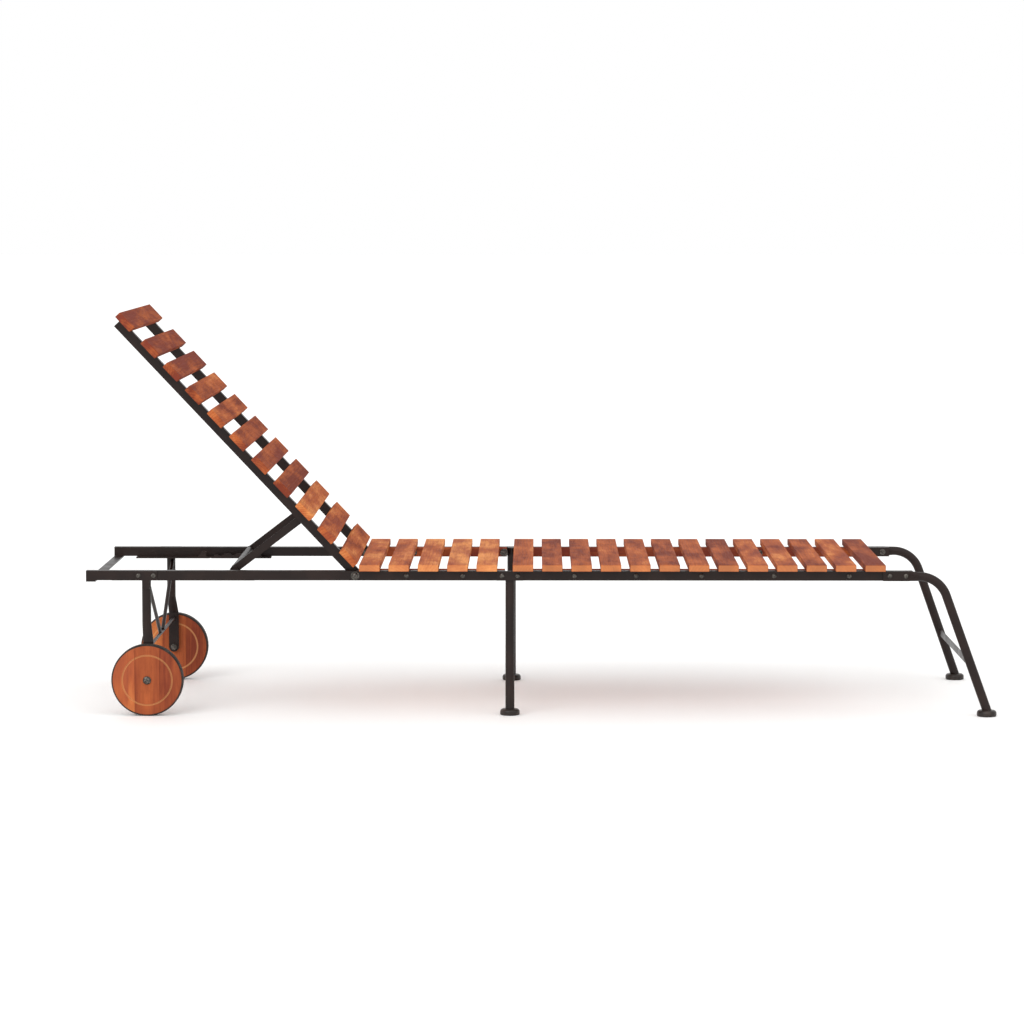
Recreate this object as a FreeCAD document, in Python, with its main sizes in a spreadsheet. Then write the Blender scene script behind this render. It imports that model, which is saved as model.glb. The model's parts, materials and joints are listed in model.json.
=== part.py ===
import FreeCAD, Part
import math
import os

import Sketcher

# Reclining garden sun lounger: acacia slats on a powder-coated steel frame, with two wheels at
# the head end and a backrest that a hinged support frame holds up on notched racks.
# Millimetres. +Z up, +X towards the foot end, +Y to the left of a person lying on it.
# The origin lies on the ground below the middle of the whole object.

SIZES = {
    # slats
    "slat_length": 600.0, "slat_width": 43.0, "slat_thick": 14.0, "slat_round": 1.5,
    "seat_pitch": 61.2, "seat_first_x": -357.6, "seat_second_x": -37.2,
    "back_pitch": 66.5, "back_last_run": 37.6, "back_first_run": 712.0,
    # square steel tube and wooden battens
    "tube": 20.0, "wall": 1.5, "rail_y": 265.0, "rail_z": 291.5, "batten_y": 245.0,
    "batten": 20.0, "batten_rise": 1.0,
    "rail_head_x": -951.8, "rail_foot_x": 777.6, "batten_head_x": -370.0, "batten_foot_x": 717.6,
    "joint_gap": 21.0, "crossbar_wide": 20.0, "flat_thick": 3.0,
    # backrest and its support
    "pivot_x": -388.4, "back_y": 242.0, "back_run": 723.5, "back_end": 9.0, "back_angle": 46.7,
    "end_cut": 4.0, "prop_run": 162.6, "prop_length": 183.6, "prop_angle": -37.3,
    "arm_y": 221.0, "arm_wide": 16.0, "arm_thick": 3.0, "prop_bar_r": 8.0, "prop_bar_end": 230.0,
    # notched racks
    "rack_head_x": -900.0, "rack_foot_x": -600.0, "rack_base_z": 279.0, "rack_web": 3.0,
    "rack_wall_y": 226.0, "rack_lip": 2.0, "rack_lip_rise": 13.0, "rack_gap": 0.5,
    "rack_stop_z": 297.0, "notch_r": 8.3, "notch_drop": 4.5,
    # legs
    "leg_r": 9.5, "leg_wall": 1.2, "middle_x": -64.6, "middle_splay": 4.0,
    "plate_long": 56.0, "plate_thick": 3.0, "plate_bolt": 16.5,
    "foot_leg_y": 284.5, "foot_corner_x": 832.0, "foot_slope": 19.63,
    "foot_splay": 3.19, "foot_bend_r": 60.0, "foot_flat_x": 715.0, "foot_loft_x": 769.0,
    "foot_tube_x": 789.0, "flat_tall": 21.0, "flat_plate": 4.0,
    "wheel_x": -822.0, "wheel_leg_x": -826.0, "wheel_leg_y": 266.0, "wheel_flat_y": 276.0,
    "wheel_flat_wide": 22.0, "wheel_loft_z": 190.0, "wheel_flat_z": 152.0, "wheel_plate_long": 46.0,
    "wheel_bolt": 15.5,
    "tongue_wide": 14.0, "tongue_drop": 18.0,
    "glide_r": 20.5, "glide_tall": 13.0, "glide_round": 6.0, "glide_base_round": 3.0,
    "bar_z": 107.0, "bar_tall": 14.0, "cross_rod_r": 3.5, "cross_rod_z": 140.0,
    "brace_r": 4.0, "brace_top_z": 273.9, "brace_top_y": 263.0, "brace_low_z": 143.0,
    "brace_low_y": 26.0, "weld_gap": 0.03,
    # wheels
    "axle_z": 75.0, "disc_r": 72.0, "wheel_r": 75.0, "wheel_in_y": 283.0, "wheel_wide": 27.0,
    "bore_r": 4.05, "groove_r": 52.0, "groove_wide": 3.0, "groove_deep": 1.5, "rim_cut": 1.0,
    "plank_half": 26.0, "plank_gap": 0.3,
    # fasteners
    "shank_r": 4.0, "bolt_r": 3.0, "screw_r": 2.0, "screw_head_r": 4.0, "screw_head": 2.0,
    "screw_bite": 9.0, "hole_slack": 0.1, "socket_r": 2.2, "socket_deep": 1.4,
}

# places of the bolts that hold the battens and the foot legs to the rails
BATTEN_BOLTS = (-281.4, -163.3, 70.7, 199.0, 336.2, 487.7, 644.4)
FOOT_BOLTS = (729.1, 762.6)

# slats before and after the rails' joint, slats on the backrest, and the share of the
# backrest's way down at which the support's crossbar drops into each notch
SEAT_HEAD_SLATS = 5
SEAT_FOOT_SLATS = 13
BACK_SLATS = 11
NOTCH_TURNS = (0.0, 0.25, 0.50, 1.0)

X_AXIS = FreeCAD.Vector(1, 0, 0)
Y_AXIS = FreeCAD.Vector(0, 1, 0)
Z_AXIS = FreeCAD.Vector(0, 0, 1)

doc = FreeCAD.newDocument("sun_lounger")
sheet = doc.addObject("Spreadsheet::Sheet", "Sizes")
for row, (alias, number) in enumerate(SIZES.items(), start=1):
    sheet.set(f"A{row}", alias)
    sheet.set(f"B{row}", str(number))
    sheet.setAlias(f"B{row}", alias)
doc.recompute()

nodes = []


def size(alias):
    """The plain number that a cell of the sheet holds."""
    return float(sheet.get(alias))


def cells(text):
    """Turn bare size names in a formula into references to the sheet."""
    words = sorted(SIZES, key=len, reverse=True)
    for index, word in enumerate(words):
        text = text.replace(word, f"#{index}#")
    for index, word in enumerate(words):
        text = text.replace(f"#{index}#", f"Sizes.{word}")
    return text


def bind(thing, **formulas):
    """Bind properties of a document object to formulas of the sheet's cells."""
    for name, formula in formulas.items():
        path = name.replace("__", ".")
        if "." in path:
            path = "." + path
        thing.setExpression(path, cells(str(formula)))
    return thing


def place(thing, x="0", y="0", z="0", axis=None, turn=None):
    """Bind an object's position, and its turn about an axis where one is given."""
    if axis is not None:
        thing.Placement = FreeCAD.Placement(FreeCAD.Vector(), FreeCAD.Rotation(axis, 1.0))
        bind(thing, Placement__Rotation__Angle=turn)
    return bind(thing, Placement__Base__x=x, Placement__Base__y=y, Placement__Base__z=z)


def keep(thing, label):
    """Name a finished sub-part; its Label is its file's name."""
    thing.Label = label
    nodes.append(thing)
    return thing


def box(name, length, width, height, x="0", y="0", z="0"):
    """A box from its lowest corner."""
    block = doc.addObject("Part::Box", name)
    bind(block, Length=length, Width=width, Height=height)
    return place(block, x, y, z)


def rod_y(name, radius, length, x, y, z):
    """A round rod that runs towards +Y from its first end."""
    rod = doc.addObject("Part::Cylinder", name)
    bind(rod, Radius=radius, Height=length)
    rod.Placement = FreeCAD.Placement(FreeCAD.Vector(), FreeCAD.Rotation(X_AXIS, -90))
    return place(rod, x, y, z)


def fuse(name, pieces):
    joined = doc.addObject("Part::MultiFuse", name)
    joined.Shapes = pieces
    joined.Refine = True
    return joined


def gather(name, pieces):
    group = doc.addObject("Part::Compound", name)
    group.Links = pieces
    return group


def cut(name, base, tool):
    left = doc.addObject("Part::Cut", name)
    left.Base = base
    left.Tool = tool
    left.Refine = True
    return left


def mirror(name, source):
    """The same piece on the other long side."""
    twin = doc.addObject("Part::Mirroring", name)
    twin.Source = source
    twin.Normal = Y_AXIS
    twin.Base = FreeCAD.Vector()
    return twin


def both_sides(source, label):
    """Keep a left piece and its mirrored right twin as two sub-parts."""
    keep(source, f"{label}_left")
    keep(mirror(f"{label}_twin", source), f"{label}_right")


def pair(source, label):
    """Keep a left piece and its mirrored twin as one sub-part of separate solids."""
    twin = mirror(f"{label}_twin", source)
    keep(gather(f"{label}_pair", [source, twin]), label)


def body_plane(body, role):
    for feature in body.Origin.OriginFeatures:
        if feature.Role == role:
            return feature
    raise ValueError(role)


def sketch_on(body, role, name):
    sketch = body.newObject("Sketcher::SketchObject", name)
    sketch.AttachmentSupport = (body_plane(body, role), [""])
    sketch.MapMode = "FlatFace"
    return sketch


def polygon(sketch, points):
    """A closed outline of straight lines, with its corners held together."""
    vectors = [FreeCAD.Vector(x, y, 0) for x, y in points]
    for start, end in zip(vectors, vectors[1:] + vectors[:1]):
        sketch.addGeometry(Part.LineSegment(start, end), False)
    count = len(vectors)
    for index in range(count):
        sketch.addConstraint(Sketcher.Constraint("Coincident", index, 2, (index + 1) % count, 1))


def held_rectangle(sketch, length, width):
    """A rectangle centred on the sketch's origin, its sides bound to the sheet."""
    half_x = size(length) / 2
    half_y = size(width) / 2
    polygon(sketch, [(-half_x, -half_y), (half_x, -half_y), (half_x, half_y), (-half_x, half_y)])
    for side in (0, 2):
        sketch.addConstraint(Sketcher.Constraint("Horizontal", side))
    for side in (1, 3):
        sketch.addConstraint(Sketcher.Constraint("Vertical", side))
    sketch.addConstraint(Sketcher.Constraint("Symmetric", 0, 1, 1, 2, -1, 1))
    across = sketch.addConstraint(Sketcher.Constraint("Distance", 0, size(length)))
    along = sketch.addConstraint(Sketcher.Constraint("Distance", 1, size(width)))
    sketch.setExpression(f"Constraints[{across}]", f"Sizes.{length}")
    sketch.setExpression(f"Constraints[{along}]", f"Sizes.{width}")


def held_circles(sketch, centres, radius):
    """Circles on the sketch's vertical axis, at bound distances from its origin."""
    for centre, formula in centres:
        circle = sketch.addGeometry(Part.Circle(FreeCAD.Vector(0, centre, 0), Z_AXIS,
                                                size(radius)), False)
        wide = sketch.addConstraint(Sketcher.Constraint("Radius", circle, size(radius)))
        sketch.setExpression(f"Constraints[{wide}]", f"Sizes.{radius}")
        sketch.addConstraint(Sketcher.Constraint("PointOnObject", circle, 3, -2))
        far = sketch.addConstraint(Sketcher.Constraint("DistanceY", -1, 1, circle, 3, centre))
        sketch.setExpression(f"Constraints[{far}]", formula)


# ---------------------------------------------------------------- slats


def slat(name, screw_y):
    """One slat with eased edges and two screw holes below; its underside is at its own z = 0."""
    body = doc.addObject("PartDesign::Body", name)
    outline = sketch_on(body, "XY_Plane", f"{name}_outline")
    held_rectangle(outline, "slat_width", "slat_length")
    plank = body.newObject("PartDesign::Pad", f"{name}_plank")
    plank.Profile = outline
    bind(plank, Length="slat_thick")
    doc.recompute()
    easing = body.newObject("PartDesign::Fillet", f"{name}_easing")
    easing.Base = (plank, [f"Edge{n + 1}" for n in range(len(plank.Shape.Edges))])
    bind(easing, Radius="slat_round")
    doc.recompute()
    circles = sketch_on(body, "XY_Plane", f"{name}_circles")
    at_y = size(screw_y)
    held_circles(circles, [(at_y, f"Sizes.{screw_y}"), (-at_y, f"-Sizes.{screw_y}")], "screw_r")
    holes = body.newObject("PartDesign::Pocket", f"{name}_holes")
    holes.Profile = circles
    holes.Reversed = True
    bind(holes, Length="screw_bite")
    body.Tip = holes
    doc.recompute()
    if holes.Shape.Volume >= easing.Shape.Volume:
        raise ValueError(f"{name}: the screw holes cut nothing")
    return body


def seat_slat_formulas():
    """The x of every seat slat, from the backrest's side to the foot end."""
    head = [f"seat_first_x + {n} * seat_pitch" for n in range(SEAT_HEAD_SLATS)]
    foot = [f"seat_second_x + {n} * seat_pitch" for n in range(SEAT_FOOT_SLATS)]
    return head + foot


def back_slat_formulas():
    """The distance of every backrest slat from the pivot, from the top one down."""
    steps = range(BACK_SLATS - 2, -1, -1)
    return ["back_first_run"] + [f"(back_last_run + {n} * back_pitch)" for n in steps]


BATTEN_TOP = "rail_z + batten_rise + batten / 2"


def on_backrest(thing, run, rise):
    """Place a piece by its distance from the pivot and its height over the pivot's line."""
    x = f"pivot_x - {run} * cos(back_angle) + ({rise}) * sin(back_angle)"
    z = f"rail_z + {run} * sin(back_angle) + ({rise}) * cos(back_angle)"
    return place(thing, x, "0", z, Y_AXIS, "back_angle")


for number, formula in enumerate(seat_slat_formulas(), start=1):
    plank = slat(f"seat_slat_{number:02d}", "batten_y")
    keep(place(plank, formula, "0", BATTEN_TOP), f"seat_slat_{number:02d}")

BACK_TOP = "tube / 2 + batten_rise"
for number, formula in enumerate(back_slat_formulas(), start=1):
    plank = slat(f"backrest_slat_{number:02d}", "back_y")
    keep(on_backrest(plank, formula, BACK_TOP), f"backrest_slat_{number:02d}")


def screw(name, x, y, z):
    """A countersunk screw that points up, its head flush with the underside it enters."""
    head = doc.addObject("Part::Cone", f"{name}_head")
    bind(head, Radius1="screw_head_r", Radius2="screw_r", Height="screw_head")
    shank = doc.addObject("Part::Cylinder", f"{name}_shank")
    bind(shank, Radius="screw_r", Height="batten + screw_bite")
    whole = fuse(name, [head, shank])
    return place(whole, x, y, z)


seat_screws = []
back_screws = []
for number, formula in enumerate(seat_slat_formulas(), start=1):
    seat_screws.append(screw(f"seat_screw_{number:02d}", formula, "batten_y",
                             "rail_z + batten_rise - batten / 2"))
for number, formula in enumerate(back_slat_formulas(), start=1):
    back_screws.append(screw(f"back_screw_{number:02d}", f"-{formula}", "back_y",
                             "batten_rise - tube / 2"))
seat_screw_row = gather("seat_screw_row", seat_screws)
back_screw_row = gather("back_screw_row", back_screws)
pair(seat_screw_row, "seat_slat_screws")
back_screw_twin = mirror("back_screw_twin", back_screw_row)
back_screw_set = gather("back_screw_set", [back_screw_row, back_screw_twin])
keep(on_backrest(back_screw_set, "0", "0"), "backrest_slat_screws")

# ---------------------------------------------------------------- rails and battens


def closed_tube(name, start, end, y, z, cap="wall"):
    """A square tube along X from start to end, its ends closed by welded caps."""
    outer = box(f"{name}_outer", f"{end} - ({start})", "tube", "tube",
                start, f"{y} - tube / 2", f"{z} - tube / 2")
    inner = box(f"{name}_inner", f"{end} - ({start}) - 2 * {cap}", "tube - 2 * wall",
                "tube - 2 * wall", f"{start} + {cap}", f"{y} - tube / 2 + wall",
                f"{z} - tube / 2 + wall")
    return cut(name, outer, inner)


def bores(name, places, radius, start_y, length, z="rail_z"):
    """A row of round cutters along Y, one at each x."""
    rods = []
    for number, x in enumerate(places, start=1):
        rods.append(rod_y(f"{name}_{number}", radius, length, x, start_y, z))
    return gather(name, rods)


LEG_BOLTS = ("middle_x - plate_bolt", "middle_x + plate_bolt")
WHEEL_BOLTS = ("wheel_leg_x - wheel_bolt", "wheel_leg_x + wheel_bolt")
head_batten_bolts = [str(x) for x in BATTEN_BOLTS if x < size("middle_x")]
foot_batten_bolts = [str(x) for x in BATTEN_BOLTS if x > size("middle_x")]
foot_bolts = [str(x) for x in FOOT_BOLTS]

head_tube = closed_tube("head_tube", "rail_head_x", "(middle_x - joint_gap / 2)",
                        "rail_y", "rail_z")
head_holes = bores("head_holes", head_batten_bolts + [LEG_BOLTS[0]], "bolt_r + hole_slack",
                   "rail_y - tube", "2 * tube")
wheel_leg_holes = bores("wheel_leg_holes", WHEEL_BOLTS, "bolt_r + hole_slack", "rail_y", "tube")
pivot_hole = bores("pivot_hole", ["pivot_x"], "shank_r + hole_slack", "rail_y - tube", "2 * tube")
head_tools = gather("head_tools", [head_holes, wheel_leg_holes, pivot_hole])
both_sides(cut("head_rail", head_tube, head_tools), "head_rail")

foot_tube = closed_tube("foot_tube", "(middle_x + joint_gap / 2)", "rail_foot_x",
                        "rail_y", "rail_z")
foot_holes = bores("foot_holes", [LEG_BOLTS[1]] + foot_batten_bolts + foot_bolts,
                   "bolt_r + hole_slack", "rail_y - tube", "2 * tube")
both_sides(cut("foot_rail", foot_tube, foot_holes), "foot_rail")


def batten(name, start, end, holes):
    """A wooden strip beside the rail, with bolt holes across and screw holes up through it."""
    strip = box(f"{name}_strip", f"{end} - ({start})", "batten", "batten", start,
                "batten_y - batten / 2", "rail_z + batten_rise - batten / 2")
    across = bores(f"{name}_bores", holes, "bolt_r + hole_slack", "batten_y - batten",
                   "2 * batten")
    return cut(name, cut(f"{name}_bored", strip, across), seat_screw_row)


head_batten = batten("head_batten", "batten_head_x", "(middle_x - joint_gap / 2)",
                     head_batten_bolts + [LEG_BOLTS[0]])
foot_batten = batten("foot_batten", "(middle_x + joint_gap / 2)", "batten_foot_x",
                     [LEG_BOLTS[1]] + foot_batten_bolts)
pair(gather("batten_row", [head_batten, foot_batten]), "seat_battens")

keep(box("head_bar", "crossbar_wide", "2 * rail_y + tube", "flat_thick", "rail_head_x",
         "-rail_y - tube / 2", "rail_z - tube / 2 - flat_thick"), "head_crossbar")

# ---------------------------------------------------------------- middle legs


TOP_DROP = 1


def leg_drop(splay):
    """The height from a leg's bend line to the top of its glide, along the leg's slant."""
    return f"(rail_z - glide_tall) / cos({splay})"


def round_leg(name, splay, y, reach):
    """A straight round tube from above its turning point down to its glide, closed above."""
    outer = doc.addObject("Part::Cylinder", f"{name}_outer")
    bind(outer, Radius="leg_r", Height=f"{leg_drop(splay)} + {reach} + leg_r")
    bind(outer, Placement__Base__z=f"-{leg_drop(splay)} - leg_r")
    inner = doc.addObject("Part::Cylinder", f"{name}_inner")
    bind(inner, Radius="leg_r - leg_wall", Height=f"{leg_drop(splay)} + {reach} + leg_r - wall",
         Placement__Base__z=f"-{leg_drop(splay)} - leg_r")
    tube = cut(f"{name}_tube", outer, inner)
    return place(tube, "middle_x", y, "rail_z", X_AXIS, splay)


# everything of a leg below its glide's top is cut away by one wide block
GROUND_LONG = 2400
GROUND_WIDE = 800
GROUND_DEEP = 100
ground_block = box("ground_block", GROUND_LONG, GROUND_WIDE, f"{GROUND_DEEP} + glide_tall",
                   -GROUND_LONG / 2, -GROUND_WIDE / 2, -GROUND_DEEP)
middle_tube = round_leg("middle", "middle_splay", "rail_y", f"tube / 2 - {TOP_DROP}")
middle_plate = box("middle_plate", "plate_long", "plate_thick", "tube",
                   "middle_x - plate_long / 2", "rail_y + tube / 2", "rail_z - tube / 2")
middle_whole = fuse("middle_whole", [middle_tube, middle_plate])
middle_holes = bores("middle_holes", LEG_BOLTS, "bolt_r + hole_slack", "rail_y", "2 * tube")
middle_tools = gather("middle_tools", [middle_holes, ground_block])
both_sides(cut("middle_leg", middle_whole, middle_tools), "middle_leg")

# ---------------------------------------------------------------- foot legs


def section_corners(half_wide, half_tall, at, along):
    """The four corners of a tube's cross-section: wide across Y, tall along the given axis."""
    return [at + Y_AXIS * (side * half_wide) + along * (end * half_tall)
            for side, end in ((1, 1), (1, -1), (-1, -1), (-1, 1))]


def slot_wire(wide, tall, at, along):
    """A closed wire with straight sides and round ends, centred on a point."""
    corner = section_corners(wide / 2, (tall - wide) / 2, at, along)
    tip = along * (tall / 2)
    return Part.Wire([Part.makeLine(corner[0], corner[1]),
                      Part.Arc(corner[1], at - tip, corner[2]).toShape(),
                      Part.makeLine(corner[2], corner[3]),
                      Part.Arc(corner[3], at + tip, corner[0]).toShape()])


def round_wire(radius, at, along):
    """A circle in four arcs, one for each edge of the slot that it turns into."""
    reach = radius * math.sqrt(0.5)
    corner = section_corners(reach, reach, at, along)
    side = Y_AXIS * radius
    tip = along * radius
    return Part.Wire([Part.Arc(corner[0], at + side, corner[1]).toShape(),
                      Part.Arc(corner[1], at - tip, corner[2]).toShape(),
                      Part.Arc(corner[2], at - side, corner[3]).toShape(),
                      Part.Arc(corner[3], at + tip, corner[0]).toShape()])


def pressed_end(name, tube_at, flat_at, tall, along):
    """The stretch where a round tube is pressed flat: round at one end, a slot at the other."""
    stretch = doc.addObject("Part::Feature", name)
    stretch.Shape = Part.makeLoft([round_wire(size("leg_r"), tube_at, along),
                                   slot_wire(size("flat_plate"), tall, flat_at, along)],
                                  True, True)
    return stretch


def foot_leg_tube():
    """The bent tube of a foot leg in its own upright plane, before the splay."""
    body = doc.addObject("PartDesign::Body", "foot_tube_body")
    path = sketch_on(body, "XZ_Plane", "foot_path")
    slope = math.radians(size("foot_slope"))
    corner = FreeCAD.Vector(size("foot_corner_x"), 0, 0)
    down = FreeCAD.Vector(math.sin(slope), -math.cos(slope), 0)
    tangent = size("foot_bend_r") * math.tan((math.pi / 2 - slope) / 2)
    bend_start = corner - X_AXIS * tangent
    bend_end = corner + down * tangent
    centre = bend_start - Y_AXIS * size("foot_bend_r")
    middle = centre + (corner - centre).normalize() * size("foot_bend_r")
    start = FreeCAD.Vector(size("foot_tube_x"), 0, 0)
    end = corner + down * (size("rail_z") / math.cos(slope))
    if start.x < bend_start.x:
        path.addGeometry(Part.LineSegment(start, bend_start), False)
    path.addGeometry(Part.Arc(bend_start, middle, bend_end), False)
    path.addGeometry(Part.LineSegment(bend_end, end), False)
    ring = sketch_on(body, "YZ_Plane", "foot_ring")
    bind(ring, AttachmentOffset__Base__z="foot_tube_x")
    bore = size("leg_r") - size("leg_wall")
    for radius, formula in ((size("leg_r"), "leg_r"), (bore, "leg_r - leg_wall")):
        circle = ring.addGeometry(Part.Circle(FreeCAD.Vector(), Z_AXIS, radius), False)
        ring.addConstraint(Sketcher.Constraint("Coincident", circle, 3, -1, 1))
        wide = ring.addConstraint(Sketcher.Constraint("Radius", circle, radius))
        ring.setExpression(f"Constraints[{wide}]", cells(formula))
    doc.recompute()
    pipe = body.newObject("PartDesign::AdditivePipe", "foot_pipe")
    pipe.Profile = ring
    pipe.Spine = (path, [f"Edge{n + 1}" for n in range(len(path.Geometry))])
    body.Tip = pipe
    doc.recompute()
    return body


foot_body = foot_leg_tube()
place(foot_body, "0", "foot_leg_y", "rail_z", X_AXIS, "foot_splay")
foot_end_y = size("rail_y") + size("tube") / 2 + size("flat_plate") / 2
foot_press = pressed_end("foot_press",
                         FreeCAD.Vector(size("foot_tube_x"), size("foot_leg_y"), size("rail_z")),
                         FreeCAD.Vector(size("foot_loft_x"), foot_end_y, size("rail_z")),
                         size("flat_tall"), Z_AXIS)
foot_flat = box("foot_flat", "foot_loft_x - foot_flat_x", "flat_plate", "flat_tall",
                "foot_flat_x", "rail_y + tube / 2", "rail_z - flat_tall / 2")
foot_whole = fuse("foot_whole", [foot_flat, foot_press, foot_body])
foot_leg_holes = bores("foot_leg_holes", foot_bolts, "bolt_r + hole_slack", "rail_y", "2 * tube")
foot_tools = gather("foot_tools", [foot_leg_holes, ground_block])
both_sides(cut("foot_leg", foot_whole, foot_tools), "foot_leg")

# ---------------------------------------------------------------- wheel legs

TONGUE_LAP = 1
wheel_tube_outer = doc.addObject("Part::Cylinder", "wheel_tube_outer")
bind(wheel_tube_outer, Radius="leg_r", Height="rail_z - tube / 2 - wheel_loft_z")
wheel_tube_inner = doc.addObject("Part::Cylinder", "wheel_tube_inner")
bind(wheel_tube_inner, Radius="leg_r - leg_wall", Height="rail_z - tube / 2 - wheel_loft_z - wall")
wheel_tube = place(cut("wheel_tube", wheel_tube_outer, wheel_tube_inner),
                   "wheel_leg_x", "wheel_leg_y", "wheel_loft_z")
wheel_press = pressed_end("wheel_press",
                          FreeCAD.Vector(size("wheel_leg_x"), size("wheel_leg_y"),
                                         size("wheel_loft_z")),
                          FreeCAD.Vector(size("wheel_x"), size("wheel_flat_y"),
                                         size("wheel_flat_z")),
                          size("wheel_flat_wide"), X_AXIS)
wheel_flat = box("wheel_flat", "wheel_flat_wide", "flat_plate", "wheel_flat_z - axle_z",
                 "wheel_x - wheel_flat_wide / 2", "wheel_flat_y - flat_plate / 2", "axle_z")
wheel_end = rod_y("wheel_end", "wheel_flat_wide / 2", "flat_plate", "wheel_x",
                  "wheel_flat_y - flat_plate / 2", "axle_z")
wheel_plate = box("wheel_plate", "wheel_plate_long", "plate_thick", "tube",
                  "wheel_leg_x - wheel_plate_long / 2", "rail_y + tube / 2", "rail_z - tube / 2")
wheel_tongue = box("wheel_tongue", "tongue_wide", "plate_thick", f"tongue_drop + {TONGUE_LAP}",
                   "wheel_leg_x - tongue_wide / 2", "rail_y + tube / 2",
                   "rail_z - tube / 2 - tongue_drop")
wheel_whole = fuse("wheel_whole", [wheel_tube, wheel_press, wheel_flat, wheel_end, wheel_plate,
                                   wheel_tongue])
plate_holes = bores("plate_holes", WHEEL_BOLTS, "bolt_r + hole_slack", "rail_y", "2 * tube")
axle_hole = bores("axle_hole", ["wheel_x"], "shank_r + hole_slack", "rail_y", "2 * tube", "axle_z")
both_sides(cut("wheel_leg", wheel_whole, gather("wheel_tools", [plate_holes, axle_hole])),
           "wheel_leg")

# ---------------------------------------------------------------- crossbars, braces, glides

half_span = "(wheel_flat_y - flat_plate / 2)"
keep(rod_y("cross_rod", "cross_rod_r", f"2 * {half_span}", "wheel_x", f"-{half_span}",
           "cross_rod_z"), "wheel_leg_crossbar")

brace_run = size("brace_top_y") - size("brace_low_y")
brace_fall = size("brace_top_z") - size("brace_low_z")
brace = doc.addObject("Part::Cylinder", "brace")
bind(brace, Radius="brace_r",
     Height="sqrt((brace_top_y - brace_low_y)^2 + (brace_top_z - brace_low_z)^2)")
brace.Placement = FreeCAD.Placement(FreeCAD.Vector(),
                                    FreeCAD.Rotation(Z_AXIS, FreeCAD.Vector(0, brace_run,
                                                                            brace_fall)))
place(brace, "wheel_x", "brace_low_y", "brace_low_z")
brace_mouth = doc.addObject("Part::Cylinder", "brace_mouth")
bind(brace_mouth, Radius="leg_r + weld_gap", Height="2 * rail_z")
place(brace_mouth, "wheel_leg_x", "wheel_leg_y", "0")
rod_mouth = rod_y("rod_mouth", "cross_rod_r + weld_gap", f"2 * {half_span}", "wheel_x",
                  f"-{half_span}", "cross_rod_z")
brace_mouths = gather("brace_mouths", [brace_mouth, rod_mouth])
pair(cut("brace_fitted", brace, brace_mouths), "wheel_leg_braces")


def flat_bar(name, x, half):
    """A flat bar across, on edge."""
    return box(name, "flat_thick", f"2 * ({half})", "bar_tall", f"{x} - flat_thick / 2",
               f"-({half})", "bar_z - bar_tall / 2")


bar_drop = "(rail_z - bar_z - bar_tall / 2)"
middle_bar = flat_bar("middle_bar", "middle_x", f"rail_y + {bar_drop} * tan(middle_splay)"
                                                " - leg_r / cos(middle_splay)")
foot_bar = flat_bar("foot_bar", "(foot_corner_x + (rail_z - bar_z) * tan(foot_slope))",
                    f"foot_leg_y + {bar_drop} * tan(foot_splay) - leg_r / cos(foot_splay)")
keep(gather("leg_bars", [middle_bar, foot_bar]), "leg_crossbars")


def glide(name, x, y):
    """A round foot with eased edges below the end of a leg."""
    disc = doc.addObject("Part::Cylinder", f"{name}_disc")
    bind(disc, Radius="glide_r", Height="glide_tall")
    place(disc, x, y, "0")
    doc.recompute()
    eased = doc.addObject("Part::Fillet", name)
    eased.Base = disc
    round_edges = [n + 1 for n, edge in enumerate(disc.Shape.Edges)
                   if isinstance(edge.Curve, Part.Circle)]
    radii = {True: size("glide_round"), False: size("glide_base_round")}
    eased.Edges = [(n, radii[disc.Shape.Edges[n - 1].CenterOfMass.z > 1],
                    radii[disc.Shape.Edges[n - 1].CenterOfMass.z > 1]) for n in round_edges]
    return eased


middle_glide = glide("middle_glide", "middle_x",
                     "rail_y + (rail_z - glide_tall) * tan(middle_splay)")
foot_glide = glide("foot_glide", "foot_corner_x + (rail_z - glide_tall) * tan(foot_slope)",
                   "foot_leg_y + (rail_z - glide_tall) * tan(foot_splay)")
pair(gather("glide_row", [middle_glide, foot_glide]), "leg_glides")

# ---------------------------------------------------------------- backrest rails and support

back_tube = closed_tube("back_tube", "-back_run", "back_end", "back_y", "batten_rise")
back_hole = bores("back_hole", ["0"], "bore_r", "back_y - tube", "2 * tube", "0")
stud_hole = bores("stud_hole", ["-prop_run"], "bore_r", "back_y - tube", "tube", "0")
end_wedge = box("end_wedge", "tube", "2 * tube", "tube")
end_wedge.Placement = FreeCAD.Placement(FreeCAD.Vector(), FreeCAD.Rotation(Y_AXIS, -45))
place(end_wedge, "back_end - end_cut", "back_y - tube", "tube / 2 + batten_rise")
back_tools = gather("back_tools", [back_hole, stud_hole, end_wedge])
back_rail = cut("back_rail", cut("back_rail_holed", back_tube, back_tools), back_screw_row)
back_rail_twin = mirror("back_rail_twin", back_rail)
back_rail_copy = gather("back_rail_copy", [back_rail])
keep(on_backrest(back_rail_copy, "0", "0"), "backrest_rail_left")
back_twin_copy = gather("back_twin_copy", [back_rail_twin])
keep(on_backrest(back_twin_copy, "0", "0"), "backrest_rail_right")


DOME_STEPS = 6


def turned(name, profile):
    """A piece turned about the Y axis from an outline of (radius, y) points."""
    body = doc.addObject("PartDesign::Body", f"{name}_body")
    sketch = sketch_on(body, "XY_Plane", f"{name}_profile")
    polygon(sketch, profile)
    piece = body.newObject("PartDesign::Revolution", f"{name}_turned")
    piece.Profile = sketch
    piece.ReferenceAxis = (body_plane(body, "Y_Axis"), [""])
    piece.Angle = 360
    body.Tip = piece
    doc.recompute()
    return body


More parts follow.
